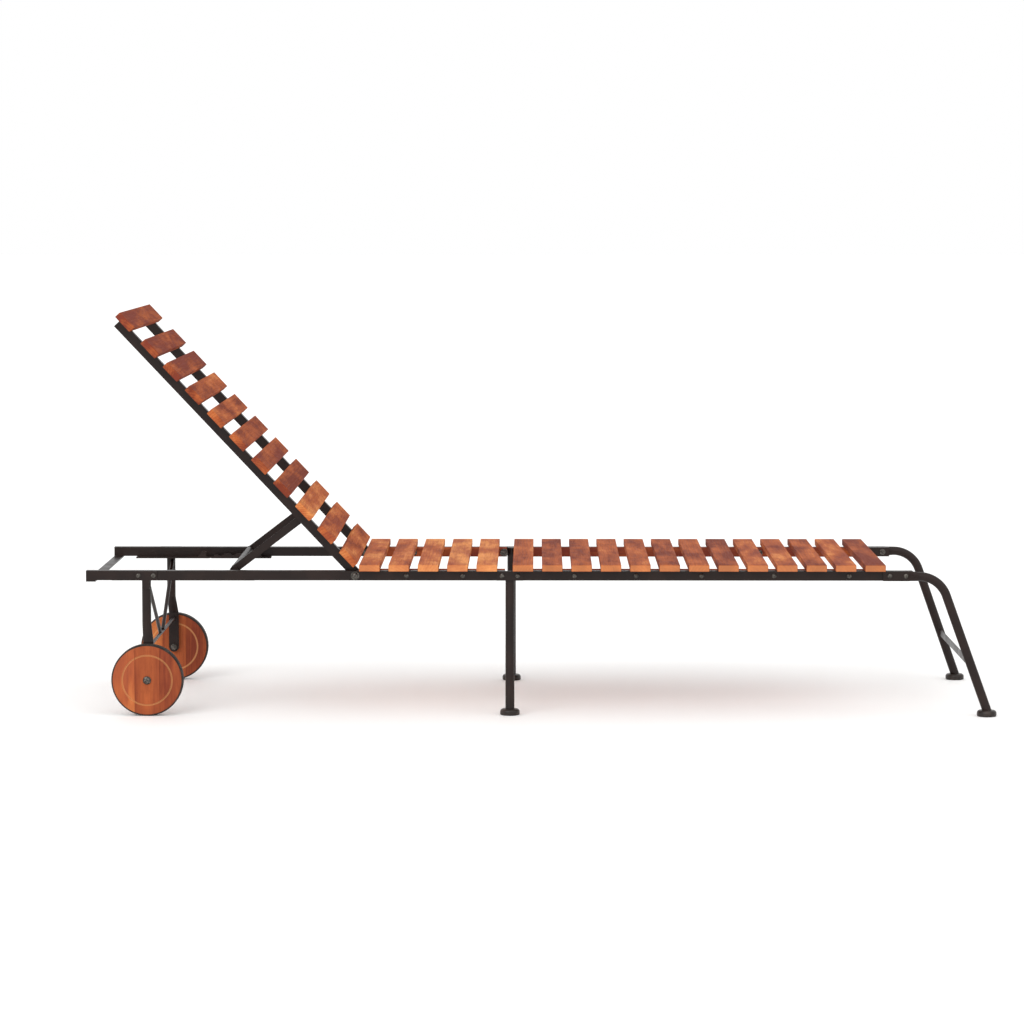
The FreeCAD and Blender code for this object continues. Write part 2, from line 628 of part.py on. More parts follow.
def dome(radius, start, rise):
    """The outline points of a domed head, from its rim to its crown."""
    points = []
    for step in range(DOME_STEPS + 1):
        turn = math.pi / 2 * step / DOME_STEPS
        points.append((radius * math.cos(turn), start + rise * math.sin(turn)))
    points[-1] = (0.0, start + rise)
    return points


RAIL_IN = size("rail_y") - size("tube") / 2
RAIL_OUT = size("rail_y") + size("tube") / 2
BACK_IN = size("back_y") - size("tube") / 2
BACK_OUT = size("back_y") + size("tube") / 2
BATTEN_IN = size("batten_y") - size("batten") / 2
RUN_GAP = 0.3
HEAD_RIM = 0.6
PIN_HEAD_R = 7.0
PIN_HEAD = 3.0
PIN_EDGE = 1.0
STUD_BITE = 6.0
NUT_CAP = 4.7
arm_in = size("arm_y") - size("arm_thick") / 2
arm_out = size("arm_y") + size("arm_thick") / 2
shank_r = size("shank_r")


def pin_head(face, tall):
    """The outline of a flat head with an eased edge, from its crown to the face it ends at."""
    return [(0, face - tall), (PIN_HEAD_R - PIN_EDGE, face - tall),
            (PIN_HEAD_R, face - tall + PIN_EDGE), (PIN_HEAD_R, face), (shank_r, face)]


prop_pin = turned("prop_pin", pin_head(arm_in - RUN_GAP, PIN_HEAD) + [
    (shank_r, arm_out + RUN_GAP), (PIN_HEAD_R, arm_out + RUN_GAP), (PIN_HEAD_R, BACK_IN),
    (shank_r, BACK_IN), (shank_r, BACK_IN + STUD_BITE), (0, BACK_IN + STUD_BITE)])
place(prop_pin, "-prop_run", "0", "0")
prop_pin_twin = mirror("prop_pin_twin", prop_pin)
prop_pin_set = gather("prop_pin_set", [prop_pin, prop_pin_twin])
keep(on_backrest(prop_pin_set, "0", "0"), "support_pivot_pins")


def support_turn(thing):
    """Place a piece of the support by its pivot on the raised backrest."""
    x = "pivot_x - prop_run * cos(back_angle)"
    z = "rail_z + prop_run * sin(back_angle)"
    return place(thing, x, "0", z, Y_AXIS, "prop_angle")


arm_bar = box("arm_bar", "prop_length", "arm_thick", "arm_wide", "-prop_length",
              "arm_y - arm_thick / 2", "-arm_wide / 2")
arm_end = rod_y("arm_end", "arm_wide / 2", "arm_thick", "0", "arm_y - arm_thick / 2", "0")
arm_bore = rod_y("arm_bore", "bore_r", "3 * arm_thick", "0", "arm_y - 1.5 * arm_thick", "0")
arm_mouth = rod_y("arm_mouth", "prop_bar_r", "3 * arm_thick", "-prop_length",
                  "arm_y - 1.5 * arm_thick", "0")
arm = cut("arm", fuse("arm_blank", [arm_bar, arm_end]), gather("arm_tools", [arm_bore, arm_mouth]))
arm_twin = mirror("arm_twin", arm)
keep(support_turn(gather("arm_set", [arm, arm_twin])), "support_arms")
prop_outer = rod_y("prop_outer", "prop_bar_r", "2 * prop_bar_end", "-prop_length",
                   "-prop_bar_end", "0")
prop_inner = rod_y("prop_inner", "prop_bar_r - wall", "2 * prop_bar_end - 2 * wall",
                   "-prop_length", "wall - prop_bar_end", "0")
prop_bar = cut("prop_bar", prop_outer, prop_inner)
keep(support_turn(gather("prop_bar_set", [prop_bar])), "support_crossbar")

# ---------------------------------------------------------------- notched racks


PATH_STEPS = 8
RACK_CLEAR = 1.0
STOP_LONG = 15.0
STOP_CUT = 4.0
END_LONG = 20.0
END_LOW = 2.0


def bar_at(share):
    """Where the support's crossbar is, with the backrest a share of its way to flat."""
    back = math.radians(size("back_angle") * (1 - share))
    prop = math.radians(size("prop_angle") * (1 - share))
    x = size("pivot_x") - size("prop_run") * math.cos(back) - size("prop_length") * math.cos(prop)
    z = size("rail_z") + size("prop_run") * math.sin(back) + size("prop_length") * math.sin(prop)
    return x, z


def rack_outline():
    """The notched wall's outline: it follows the crossbar's way just below the bar."""
    reach = size("prop_bar_r") + size("rack_gap")
    path = [bar_at(step / PATH_STEPS) for step in range(PATH_STEPS + 1)]
    top = [(x, z - reach) for x, z in path]
    first_x = path[0][0] + reach + RACK_CLEAR
    last_x = path[-1][0] - reach - RACK_CLEAR
    stop = size("rack_stop_z")
    base = size("rack_base_z")
    points = [(first_x + STOP_LONG, base), (first_x + STOP_LONG, stop - STOP_CUT),
              (first_x + STOP_LONG - STOP_CUT, stop), (first_x, stop), (first_x, top[0][1])]
    points += top + [(last_x, top[-1][1]), (last_x, stop - END_LOW),
                     (last_x - END_LONG / 2, stop - END_LOW), (last_x - END_LONG, base)]
    return points


rack_body = doc.addObject("PartDesign::Body", "rack_body")
rack_sketch = sketch_on(rack_body, "XZ_Plane", "rack_sketch")
polygon(rack_sketch, rack_outline())
rack_pad = rack_body.newObject("PartDesign::Pad", "rack_pad")
rack_pad.Profile = rack_sketch
bind(rack_pad, Length="rack_web")
rack_body.Tip = rack_pad
place(rack_body, "0", "rack_wall_y + rack_web", "0")
rack_floor = box("rack_floor", "rack_foot_x - rack_head_x", "rail_y - tube / 2 - rack_wall_y",
                 "rack_web", "rack_head_x", "rack_wall_y", "rack_base_z")
rack_side = box("rack_side", "rack_foot_x - rack_head_x", "rack_lip", "rack_lip_rise",
                "rack_head_x", "rail_y - tube / 2 - rack_lip", "rack_base_z")
notches = []
for index, share in enumerate(NOTCH_TURNS):
    notch_x, notch_z = bar_at(share)
    notches.append(rod_y(f"notch_{index}", "notch_r", "3 * rack_web", str(notch_x),
                         "rack_wall_y - rack_web", f"{notch_z} - notch_drop"))
rack_whole = fuse("rack_whole", [rack_body, rack_floor, rack_side])
pair(cut("rack", rack_whole, gather("rack_notches", notches)), "support_racks")

# ---------------------------------------------------------------- bolts


def socketed(name, blank, crown):
    """Cut a hexagon socket into the crown of a bolt's head."""
    socket = doc.addObject("Part::Prism", f"{name}_socket")
    socket.Polygon = 6
    bind(socket, Circumradius="socket_r", Height="2 * socket_deep")
    socket.Placement = FreeCAD.Placement(FreeCAD.Vector(), FreeCAD.Rotation(X_AXIS, -90))
    place(socket, "0", f"{crown} - socket_deep", "0")
    return cut(f"{name}_cut", blank, socket)


def bolt(name, x, z, head, seat, tail, nut=None):
    """A bolt across a rail: a domed head outside, a shank, and a nut inside where one fits."""
    radius, rise = head
    outline = [(0, tail), (size("bolt_r"), tail), (size("bolt_r"), seat), (radius, seat)]
    outline += dome(radius, seat + HEAD_RIM, rise)
    if nut is not None:
        nut_r, nut_face, nut_tall = nut
        outline = [(0, nut_face - nut_tall), (nut_r - PIN_EDGE, nut_face - nut_tall),
                   (nut_r, nut_face - nut_tall + PIN_EDGE), (nut_r, nut_face),
                   (size("bolt_r"), nut_face)] + outline[2:]
    whole = socketed(name, turned(name, outline), seat + HEAD_RIM + rise)
    return place(gather(f"{name}_set", [whole]), x, "0", z)


SMALL_HEAD = (5.0, 2.2)
SMALL_NUT_R = 6.5
ROUND_NUT_R = 9.0
NUT_TALL = 3.0
PLATE_OUT = RAIL_OUT + size("plate_thick")
FOOT_OUT = RAIL_OUT + size("flat_plate")
frame_bolts = []
for number, x in enumerate(BATTEN_BOLTS, start=1):
    frame_bolts.append(bolt(f"batten_bolt_{number}", str(x), "rail_z", SMALL_HEAD, RAIL_OUT,
                            BATTEN_IN, (SMALL_NUT_R, BATTEN_IN, NUT_TALL)))
for number, x in enumerate(LEG_BOLTS, start=1):
    frame_bolts.append(bolt(f"middle_bolt_{number}", x, "rail_z", SMALL_HEAD, PLATE_OUT,
                            BATTEN_IN, (ROUND_NUT_R, BATTEN_IN, NUT_TALL)))
for number, x in enumerate(FOOT_BOLTS, start=1):
    frame_bolts.append(bolt(f"foot_bolt_{number}", str(x), "rail_z", SMALL_HEAD, FOOT_OUT,
                            RAIL_IN, (SMALL_NUT_R, RAIL_IN, NUT_TALL)))
for number, x in enumerate(WHEEL_BOLTS, start=1):
    frame_bolts.append(bolt(f"wheel_bolt_{number}", x, "rail_z", SMALL_HEAD, PLATE_OUT,
                            RAIL_IN + 2 * size("wall")))
pair(gather("bolt_row", frame_bolts), "frame_bolts")

PIVOT_WASHER = (9.2, 1.6)
WASHER_EDGE = 0.5
PIVOT_HEAD = (6.4, 3.4)
washer_out = RAIL_OUT + PIVOT_WASHER[1]
pivot_outline = pin_head(BACK_IN - RUN_GAP, NUT_CAP) + [
    (shank_r, BACK_OUT + RUN_GAP), (PIN_HEAD_R, BACK_OUT + RUN_GAP), (PIN_HEAD_R, RAIL_IN),
    (shank_r, RAIL_IN), (shank_r, RAIL_OUT), (PIVOT_WASHER[0], RAIL_OUT),
    (PIVOT_WASHER[0], washer_out - WASHER_EDGE), (PIVOT_WASHER[0] - WASHER_EDGE, washer_out),
    (PIVOT_HEAD[0], washer_out)]
pivot_outline += dome(PIVOT_HEAD[0], washer_out + HEAD_RIM, PIVOT_HEAD[1])
pivot_blank = turned("pivot_bolt", pivot_outline)
pivot_crown = washer_out + HEAD_RIM + PIVOT_HEAD[1]
pivot_bolt = gather("pivot_bolt_set", [socketed("pivot_bolt", pivot_blank, pivot_crown)])
pair(place(pivot_bolt, "pivot_x", "0", "rail_z"), "pivot_bolts")

# ---------------------------------------------------------------- wheels

WHEEL_IN = size("wheel_in_y")
WHEEL_OUT = WHEEL_IN + size("wheel_wide")
LEG_FLAT_IN = size("wheel_flat_y") - size("flat_plate") / 2
LEG_FLAT_OUT = size("wheel_flat_y") + size("flat_plate") / 2
HUB_HEAD = (8.6, 3.4)
GROOVE_SLANT = 0.5
SEAM_OVER = 1
TYRE_CROWN = 1.2
TYRE_SHOULDER = 3.0
axle_outline = pin_head(LEG_FLAT_IN, NUT_CAP) + [
    (shank_r, LEG_FLAT_OUT), (PIN_HEAD_R, LEG_FLAT_OUT), (PIN_HEAD_R, WHEEL_IN - RUN_GAP),
    (shank_r, WHEEL_IN - RUN_GAP), (shank_r, WHEEL_OUT + RUN_GAP),
    (HUB_HEAD[0], WHEEL_OUT + RUN_GAP)]
axle_outline += dome(HUB_HEAD[0], WHEEL_OUT + RUN_GAP + HEAD_RIM, HUB_HEAD[1])
pair(place(turned("axle_bolt", axle_outline), "wheel_x", "0", "axle_z"), "axle_bolts")


def wheel_disc():
    """The wooden disc: three planks side by side, with a routed ring in its outer face."""
    disc_r = size("disc_r")
    rim = size("rim_cut")
    ring_in = size("groove_r") - size("groove_wide") / 2
    ring_out = size("groove_r") + size("groove_wide") / 2
    deep = WHEEL_OUT - size("groove_deep")
    blank = turned("disc", [
        (size("bore_r"), WHEEL_IN), (disc_r - rim, WHEEL_IN), (disc_r, WHEEL_IN + rim),
        (disc_r, WHEEL_OUT - rim), (disc_r - rim, WHEEL_OUT), (ring_out, WHEEL_OUT),
        (ring_out - GROOVE_SLANT, deep), (ring_in + GROOVE_SLANT, deep), (ring_in, WHEEL_OUT),
        (size("bore_r"), WHEEL_OUT)])
    seams = []
    for number, side in enumerate(("-plank_half", "plank_half")):
        seams.append(box(f"seam_{number}", "plank_gap", f"wheel_wide + 2 * {SEAM_OVER}",
                         f"2 * (disc_r + {SEAM_OVER})", f"{side} - plank_gap / 2",
                         f"wheel_in_y - {SEAM_OVER}", f"-disc_r - {SEAM_OVER}"))
    return cut("disc_planks", blank, gather("disc_seams", seams))


disc = gather("disc_set", [wheel_disc()])
both_sides(place(disc, "wheel_x", "0", "axle_z"), "wheel")
tyre_r = size("wheel_r")
tyre_in = WHEEL_IN + size("rim_cut")
tyre_out = WHEEL_OUT - size("rim_cut")
tyre = turned("tyre", [
    (size("disc_r"), tyre_in), (tyre_r - TYRE_CROWN, tyre_in),
    (tyre_r, WHEEL_IN + TYRE_SHOULDER), (tyre_r, WHEEL_OUT - TYRE_SHOULDER),
    (tyre_r - TYRE_CROWN, tyre_out), (size("disc_r"), tyre_out)])
both_sides(place(tyre, "wheel_x", "0", "axle_z"), "tyre")

# ---------------------------------------------------------------- checks and export

doc.recompute()
for thing in doc.Objects:
    if "Invalid" in thing.State or "Error" in thing.State:
        raise ValueError(f"{thing.Name} failed: {thing.State}")

whole = FreeCAD.BoundBox()
for node in nodes:
    if node.Shape.isNull() or not node.Shape.isValid():
        raise ValueError(f"{node.Label} has no valid shape")
    if not node.Shape.Solids:
        raise ValueError(f"{node.Label} holds no solid")
    whole.add(node.Shape.BoundBox)

os.makedirs("parts", exist_ok=True)
for node in nodes:
    node.Shape.exportStep(f"parts/{node.Label}.step")
print(len(nodes), "nodes", whole)
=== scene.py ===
import json
import math

import bmesh
import bpy
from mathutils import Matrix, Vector


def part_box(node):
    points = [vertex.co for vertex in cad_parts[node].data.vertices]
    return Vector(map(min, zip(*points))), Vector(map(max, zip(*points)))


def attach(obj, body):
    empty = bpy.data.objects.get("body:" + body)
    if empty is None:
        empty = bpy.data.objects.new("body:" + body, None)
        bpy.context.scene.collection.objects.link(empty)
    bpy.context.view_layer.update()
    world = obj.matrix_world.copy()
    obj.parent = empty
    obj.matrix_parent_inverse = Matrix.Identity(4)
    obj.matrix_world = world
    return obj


# Looks of the reclining sun lounger: oiled acacia slats and wheels on a powder-coated steel
# frame, on a pale floor in soft light. Metres; the frame gives every place.

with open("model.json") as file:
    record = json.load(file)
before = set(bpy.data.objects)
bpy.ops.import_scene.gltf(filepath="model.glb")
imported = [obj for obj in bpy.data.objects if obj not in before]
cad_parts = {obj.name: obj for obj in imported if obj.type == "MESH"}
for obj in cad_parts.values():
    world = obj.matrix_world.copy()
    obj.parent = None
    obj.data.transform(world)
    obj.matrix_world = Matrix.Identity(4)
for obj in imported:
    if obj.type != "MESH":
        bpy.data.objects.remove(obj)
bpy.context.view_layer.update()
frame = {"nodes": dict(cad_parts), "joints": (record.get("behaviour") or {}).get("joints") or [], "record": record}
nodes = frame["nodes"]
slot_of = {part["node"]: part["material_slot"] for part in frame["record"]["subparts"]}
joints = {joint["name"]: joint for joint in frame["joints"]}

# ---------------------------------------------------------------- camera

CAMERA_PLACE = (-0.0100, -8.056, 1.0828)
CAMERA_PITCH = 4.830
CAMERA_YAW = 0.370
CAMERA_LENS = 131.5
CAMERA_SENSOR = 36.0

camera_data = bpy.data.cameras.new("camera")
camera_data.lens = CAMERA_LENS
camera_data.sensor_width = CAMERA_SENSOR
camera = bpy.data.objects.new("camera", camera_data)
camera.location = CAMERA_PLACE
camera.rotation_euler = (math.radians(90 - CAMERA_PITCH), 0, math.radians(CAMERA_YAW))
bpy.context.scene.collection.objects.link(camera)
bpy.context.scene.camera = camera
bpy.context.scene.view_settings.view_transform = "Standard"

# ---------------------------------------------------------------- node helpers


class Shading:
    """A material's node tree, with short ways to add and join nodes."""

    def __init__(self, name):
        self.material = bpy.data.materials.new(name)
        self.material.use_nodes = True
        self.tree = self.material.node_tree
        self.surface = self.tree.nodes["Principled BSDF"]

    def add(self, kind, inputs=(), **settings):
        """A new node; inputs are numbers, tuples or other nodes' sockets, in socket order."""
        made = self.tree.nodes.new(kind)
        for key, value in settings.items():
            setattr(made, key, value)
        for key, value in dict(inputs).items():
            self.feed(made.inputs[key], value)
        return made

    def feed(self, socket, value):
        if isinstance(value, bpy.types.NodeSocket):
            self.tree.links.new(value, socket)
        else:
            socket.default_value = value

    def math(self, operation, *values):
        made = self.add("ShaderNodeMath", enumerate(values), operation=operation)
        return made.outputs[0]

    def vector(self, operation, *values):
        made = self.add("ShaderNodeVectorMath", enumerate(values), operation=operation)
        return made.outputs["Value" if operation in ("DOT_PRODUCT", "LENGTH") else "Vector"]

    def combine(self, x, y, z):
        return self.add("ShaderNodeCombineXYZ", enumerate((x, y, z))).outputs[0]

    def noise(self, place, scale, detail=3.0, roughness=0.5):
        inputs = {"Vector": place, "Scale": scale, "Detail": detail, "Roughness": roughness}
        return self.add("ShaderNodeTexNoise", inputs).outputs["Fac"]

    def spread(self, value, low, high, to_low=0.0, to_high=1.0, smooth=True):
        """Map a value from one range to another, held at both ends."""
        made = self.add("ShaderNodeMapRange", enumerate((value, low, high, to_low, to_high)))
        made.interpolation_type = "SMOOTHSTEP" if smooth else "LINEAR"
        return made.outputs["Result"]

    def mix(self, factor, first, second, blend="MIX"):
        made = self.add("ShaderNodeMix", data_type="RGBA", blend_type=blend)
        self.feed(made.inputs[0], factor)
        self.feed(made.inputs[6], first)
        self.feed(made.inputs[7], second)
        return made.outputs[2]

    def steps(self, factor, values):
        """The value of the even step of 0-1 that the factor falls in."""
        made = self.add("ShaderNodeValToRGB", {"Fac": factor})
        ramp = made.color_ramp
        ramp.interpolation = "CONSTANT"
        while len(ramp.elements) > 1:
            ramp.elements.remove(ramp.elements[-1])
        for number, value in enumerate(values):
            stop = ramp.elements[0] if number == 0 else ramp.elements.new(number / len(values))
            stop.position = number / len(values)
            stop.color = (value, value, value, 1.0)
        return self.add("ShaderNodeRGBToBW", {"Color": made.outputs["Color"]}).outputs["Val"]

    def bump(self, height, distance, strength=1.0, under=None):
        made = self.add("ShaderNodeBump", {"Height": height, "Distance": distance,
                                           "Strength": strength})
        if under is not None:
            self.feed(made.inputs["Normal"], under)
        return made.outputs["Normal"]

    def finish(self, **sockets):
        for name, value in sockets.items():
            self.feed(self.surface.inputs[name.replace("_", " ")], value)
        return self.material


def colour(red, green, blue):
    """A scene-linear colour from 0-255 display values."""
    def linear(value):
        share = value / 255
        return share / 12.92 if share <= 0.04045 else ((share + 0.055) / 1.055) ** 2.4
    return (linear(red), linear(green), linear(blue), 1.0)


# ---------------------------------------------------------------- wood

PALE = colour(216, 142, 84)
AMBER = colour(172, 92, 54)
RED = colour(118, 56, 40)
DARK = colour(70, 34, 24)
ROSY = colour(128, 62, 56)
# painted highlight: the pale colour laid on the sawn end faces, standing in for light falling on them
END_PAINTED_LIGHT = colour(214, 142, 92)
# the wheels' routed groove: bare wood paler than the oiled face, partly a painted highlight on its edges
GROOVE_BARE_AND_HIGHLIGHT = colour(236, 178, 118)

# how light each board is, from dark heartwood (0) to pale sapwood (1)
SEAT_TONES = (0.55, 0.54, 0.66, 0.84, 0.72, 0.48, 0.24, 0.24, 0.40, 0.42, 0.16, 0.30, 0.06, 0.44,
              0.46, 0.28, 0.40, 0.12)
BACK_TONES = (0.46, 0.40, 0.66, 0.16, 0.22, 0.34, 0.36, 0.36, 0.08, 0.20, 0.22)
WHEEL_TONES = (0.52, 0.26, 0.10)
BATTEN_TONES = (0.20,)

# growth rings: their gap, where the log's heart lies from the board, and how far they stray
RING_GAP = 0.0055
HEART_ACROSS = 0.14
HEART_BELOW = 0.07
HEART_LEAST = 0.015
STRAY_ACROSS = 0.05
STRAY_BELOW = 0.09
RING_JITTER = 2.6
LATE_FROM = 0.55

# how much each pattern adds to a board's lightness
CLOUD_SHARE = 1.9
STREAK_SHARE = 0.40
FIGURE_SHARE = 0.30
LATE_SHARE = 0.12

# how far the fine marks pull a board's colour towards another
FIBRE_DARK = 0.26
PORE_DARK = 0.40
ROSY_SHARE = 0.35
# the groove's pull is partly bare wood and partly a painted highlight on the groove's edges
GROOVE_SHARE = 0.30
GROOVE = 0.052
GROOVE_HALF = 0.0016
GROOVE_EDGE = 0.0004
NOISE_SHIFT = 37.0


def wood(name, origin, across, along, up, pitch, phase, tones, contrast=1.0, end_painted_light=0.1,
         veil=0.03, groove=None):
    """Oiled acacia. Boards lie side by side along 'across'; the grain runs along 'along'.

    Boards are 'pitch' apart, and 'phase' shifts where the first one begins, in boards. The sawn
    ends are painted paler by the end-light share, a painted highlight for the light that falls
    on them. 'veil' is the surface's reflection, and 'groove' the radius of a routed ring where
    there is one.
    """
    m = Shading(name)
    place = m.add("ShaderNodeTexCoord").outputs["Object"]
    shifted = m.vector("SUBTRACT", place, tuple(origin))
    side = m.vector("DOT_PRODUCT", shifted, tuple(across))
    run = m.vector("DOT_PRODUCT", shifted, tuple(along))
    rise = m.vector("DOT_PRODUCT", shifted, tuple(up))

    # every board has its own place in the log and its own tone
    steps = m.math("ADD", m.math("DIVIDE", side, pitch), phase)
    board = m.math("FLOOR", steps)
    lots = m.add("ShaderNodeTexWhiteNoise", {"W": m.math("ADD", board, phase)},
                 noise_dimensions="1D")
    split = m.add("ShaderNodeSeparateColor", {"Color": lots.outputs["Color"]}).outputs
    lot_a, lot_b, lot_c = split[0], split[1], split[2]
    shift = m.math("MULTIPLY", lots.outputs["Value"], NOISE_SHIFT)
    board_tone = m.steps(m.math("DIVIDE", m.math("ADD", board, 0.5), float(len(tones))), tones)

    def grain(across_scale, along_scale, detail, roughness=0.5):
        """A noise that is drawn out along the grain, other on every board."""
        stretched = m.combine(m.math("ADD", m.math("MULTIPLY", side, across_scale), shift),
                              m.math("MULTIPLY", run, along_scale),
                              m.math("MULTIPLY", rise, across_scale))
        return m.noise(stretched, 1.0, detail, roughness)

    wander = m.math("SUBTRACT", grain(5.0, 2.2, 2.0), 0.5)
    in_board = m.math("MULTIPLY", m.math("SUBTRACT", m.math("FRACT", steps), 0.5), pitch)
    heart_x = m.math("MULTIPLY", m.math("SUBTRACT", lot_a, 0.5), HEART_ACROSS)
    heart_z = m.math("ADD", m.math("MULTIPLY", lot_b, HEART_BELOW), HEART_LEAST)
    ring_x = m.math("ADD", in_board, heart_x)
    ring_x = m.math("ADD", ring_x, m.math("MULTIPLY", wander, STRAY_ACROSS))
    ring_z = m.math("ADD", rise, heart_z)
    ring_z = m.math("ADD", ring_z, m.math("MULTIPLY", wander, STRAY_BELOW))
    radius = m.vector("LENGTH", m.combine(ring_x, 0.0, ring_z))
    jitter = m.math("MULTIPLY", grain(60.0, 5.0, 2.0), RING_JITTER)
    turn = m.math("ADD", m.math("MULTIPLY", radius, math.tau / RING_GAP), jitter)
    ring = m.math("MULTIPLY", m.math("ADD", m.math("SINE", turn), 1.0), 0.5)
    late = m.spread(ring, LATE_FROM, 1.0)

    fibre = grain(900.0, 16.0, 3.0, 0.6)
    pore = m.spread(grain(1500.0, 60.0, 1.0), 0.66, 0.74)
    streak = grain(150.0, 3.0, 2.0, 0.6)
    cloud = grain(24.0, 5.5, 3.0, 0.55)
    figure = grain(18.0, 20.0, 2.0, 0.5)

    lightness = board_tone
    for pattern, share in ((cloud, CLOUD_SHARE), (streak, STREAK_SHARE), (figure, FIGURE_SHARE)):
        swing = m.math("MULTIPLY", m.math("SUBTRACT", pattern, 0.5), share * contrast)
        lightness = m.math("ADD", lightness, swing)
    lightness = m.math("SUBTRACT", lightness, m.math("MULTIPLY", late, LATE_SHARE * contrast))
    tone = m.mix(m.spread(lightness, 0.0, 0.5, smooth=False), RED, AMBER)
    tone = m.mix(m.spread(lightness, 0.5, 1.0, smooth=False), tone, PALE)
    tone = m.mix(m.spread(fibre, 0.25, 0.60, FIBRE_DARK, 0.0), tone, DARK)
    tone = m.mix(m.math("MULTIPLY", pore, PORE_DARK), tone, DARK)
    rosy = m.math("MULTIPLY", m.spread(lot_c, 0.3, 1.0), m.spread(cloud, 0.6, 0.35))
    tone = m.mix(m.math("MULTIPLY", rosy, ROSY_SHARE), tone, ROSY)

    facing = m.add("ShaderNodeTexCoord").outputs["Normal"]
    end_face = m.math("ABSOLUTE", m.vector("DOT_PRODUCT", facing, tuple(along)))
    if groove is None:
        # painted highlight: the end faces are pulled towards a pale colour, for the light that falls on them
        tone = m.mix(m.spread(end_face, 0.75, 0.95, 0.0, end_painted_light), tone, END_PAINTED_LIGHT)
    else:
        # the routed ring is painted paler: partly bare wood, partly a painted highlight on its edges
        off = m.math("SUBTRACT", m.vector("LENGTH", m.combine(side, run, 0.0)), groove)
        cut = m.spread(m.math("ABSOLUTE", off), GROOVE_HALF,
                       GROOVE_HALF + GROOVE_EDGE, 1.0, 0.0)
        tone = m.mix(m.math("MULTIPLY", cut, GROOVE_SHARE), tone, GROOVE_BARE_AND_HIGHLIGHT)

    gloss = m.math("ADD", m.spread(fibre, 0.2, 0.8, 0.72, 0.56), m.math("MULTIPLY", late, -0.05))
    relief = m.math("ADD", m.math("MULTIPLY", fibre, 0.6), m.math("MULTIPLY", late, 0.3))
    relief = m.math("SUBTRACT", relief, m.math("MULTIPLY", pore, 0.8))
    normal = m.bump(relief, 0.0002, 0.5)
    return m.finish(Base_Color=tone, Roughness=gloss, Normal=normal, Specular_IOR_Level=veil)


def middle(node):
    low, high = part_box(node)
    return (Vector(low) + Vector(high)) / 2


X, Y, Z = Vector((1, 0, 0)), Vector((0, 1, 0)), Vector((0, 0, 1))
first_seat = middle("seat_slat_01")
seat_pitch = (middle("seat_slat_02") - first_seat).x
last_back = middle("backrest_slat_11")
back_step = middle("backrest_slat_10") - last_back
back_run = back_step.normalized()
left_axle = Vector(joints["wheel_left_spin"]["pos_m"])
PLANK = 0.052
BATTEN_SPACE = 0.4


def wood_materials():
    batten = middle("seat_battens")
    return {
        # the seat's sawn ends get a painted highlight; the backrest's ends get none
        "seat_wood": wood("acacia_seat", first_seat, X, Y, Z, seat_pitch, 0.40, SEAT_TONES,
                          end_painted_light=0.42),
        "backrest_wood": wood("acacia_backrest", last_back, back_run, Y, Y.cross(back_run),
                              back_step.length, 0.50, BACK_TONES,
                              end_painted_light=0.0, veil=0.01),
        "batten_wood": wood("acacia_batten", batten, Y, X, Z, BATTEN_SPACE, 0.5, BATTEN_TONES),
        "wheel_wood": wood("acacia_wheel", left_axle, X, Z, Y, PLANK, 1.5, WHEEL_TONES,
                           contrast=0.5, groove=GROOVE),
    }


# ---------------------------------------------------------------- metal, rubber, plastic


def powder_coat():
    """Fine-textured brown-black powder coat with a soft sheen and a trace of dust."""
    m = Shading("powder_coat")
    place = m.add("ShaderNodeTexCoord").outputs["Object"]
    grit = m.noise(place, scale=2600.0, detail=2.0)
    orange_peel = m.noise(place, scale=420.0, detail=2.0)
    dust = m.noise(place, scale=14.0, detail=4.0, roughness=0.6)
    tone = m.mix(m.spread(dust, 0.35, 0.75), colour(24, 13, 10), colour(36, 22, 17))
    tone = m.mix(m.spread(grit, 0.60, 0.80, 0.0, 0.35), tone, colour(54, 43, 37))
    gloss = m.math("ADD", m.spread(dust, 0.3, 0.7, 0.30, 0.42),
                   m.math("MULTIPLY", grit, 0.06))
    normal = m.bump(orange_peel, 0.00012, 0.6)
    normal = m.bump(grit, 0.00006, 0.6, normal)
    return m.finish(Base_Color=tone, Roughness=gloss, Normal=normal, Specular_IOR_Level=0.24)


def plain_metal(name, dark, light, metallic, rough):
    """Bolts and screws: turned steel with faint wear."""
    m = Shading(name)
    place = m.add("ShaderNodeTexCoord").outputs["Object"]
    wear = m.noise(place, scale=300.0, detail=4.0, roughness=0.6)
    fine = m.noise(place, scale=1800.0, detail=2.0)
    tone = m.mix(m.spread(wear, 0.40, 0.70), dark, light)
    gloss = m.spread(wear, 0.3, 0.7, rough, rough + 0.16)
    m.surface.inputs["Metallic"].default_value = metallic
    return m.finish(Base_Color=tone, Roughness=gloss, Normal=m.bump(fine, 0.00005, 0.5))


def rubber():
    m = Shading("tyre_rubber")
    place = m.add("ShaderNodeTexCoord").outputs["Object"]
    scuff = m.noise(place, scale=90.0, detail=4.0, roughness=0.6)
    grain = m.noise(place, scale=1500.0, detail=3.0)
    tone = m.mix(m.spread(scuff, 0.4, 0.75), colour(30, 25, 23), colour(64, 55, 50))
    gloss = m.spread(scuff, 0.3, 0.8, 0.62, 0.85)
    return m.finish(Base_Color=tone, Roughness=gloss, Normal=m.bump(grain, 0.0002, 0.6),
                    Specular_IOR_Level=0.25)


